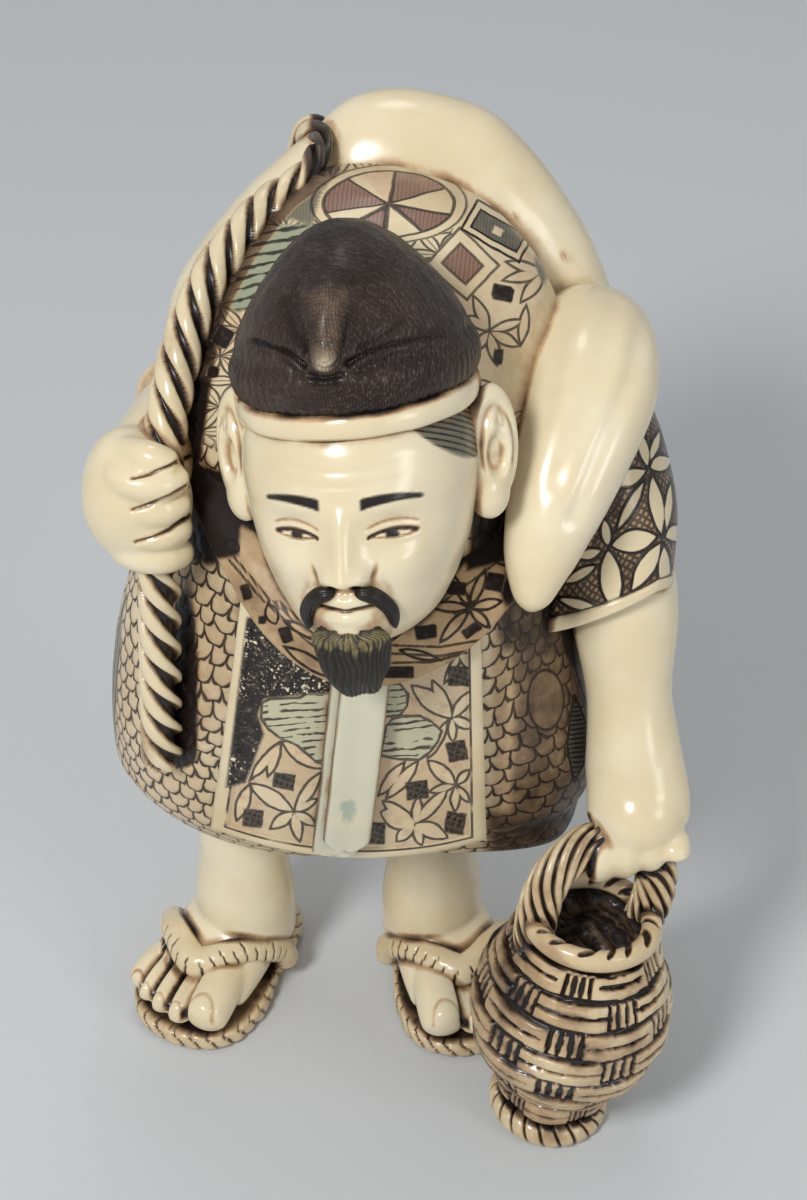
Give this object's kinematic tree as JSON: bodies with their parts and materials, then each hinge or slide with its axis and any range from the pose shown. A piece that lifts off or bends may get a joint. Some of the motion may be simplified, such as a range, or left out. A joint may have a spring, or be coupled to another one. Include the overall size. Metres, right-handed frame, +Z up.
{
  "type": "marble dust figurine",
  "caption": "Cast ornament of a stooping bearded pedlar in a patterned robe, with a sack roped on his back and a woven basket in his hand.",
  "frame": {"origin": "middle of the outer box, on the floor that the sandals and the basket stand on", "axes": "+Z up, -Y the way the figure faces, +X the figure's own left, where the basket hangs"},
  "size_m": [0.0592, 0.0636, 0.1033],
  "materials": {
    "ivory": "glossy cream cast marble dust in resin",
    "stained": "cream cast marble dust, carved relief rubbed with brown stain",
    "dark": "dark brown paint over the cast",
    "sash_green": "thin grey-green wash over the cast"
  },
  "bodies": {
    "root": {"right_sandal_sole": "stained", "left_sandal_sole": "stained", "right_foot": "ivory", "left_foot": "ivory", "right_sandal_strap": "stained", "left_sandal_strap": "stained", "right_leg": "ivory", "left_leg": "ivory", "robe": "stained", "collar": "stained", "front_apron": "stained", "sash_under_tail": "sash_green", "sash_upper_tail": "sash_green", "head": "ivory", "goatee": "dark", "right_moustache": "dark", "left_moustache": "dark", "headband": "ivory", "cap": "dark", "sack": "ivory", "sack_mouth_end": "ivory", "rope": "stained", "left_sleeve": "stained", "right_sleeve": "stained", "left_forearm": "ivory", "right_forearm": "ivory", "left_fist": "ivory", "right_fist": "ivory", "basket_handle": "stained", "basket_body": "stained", "basket_rim": "stained", "basket_foot_ring": "stained"}
  },
  "joints": []
}
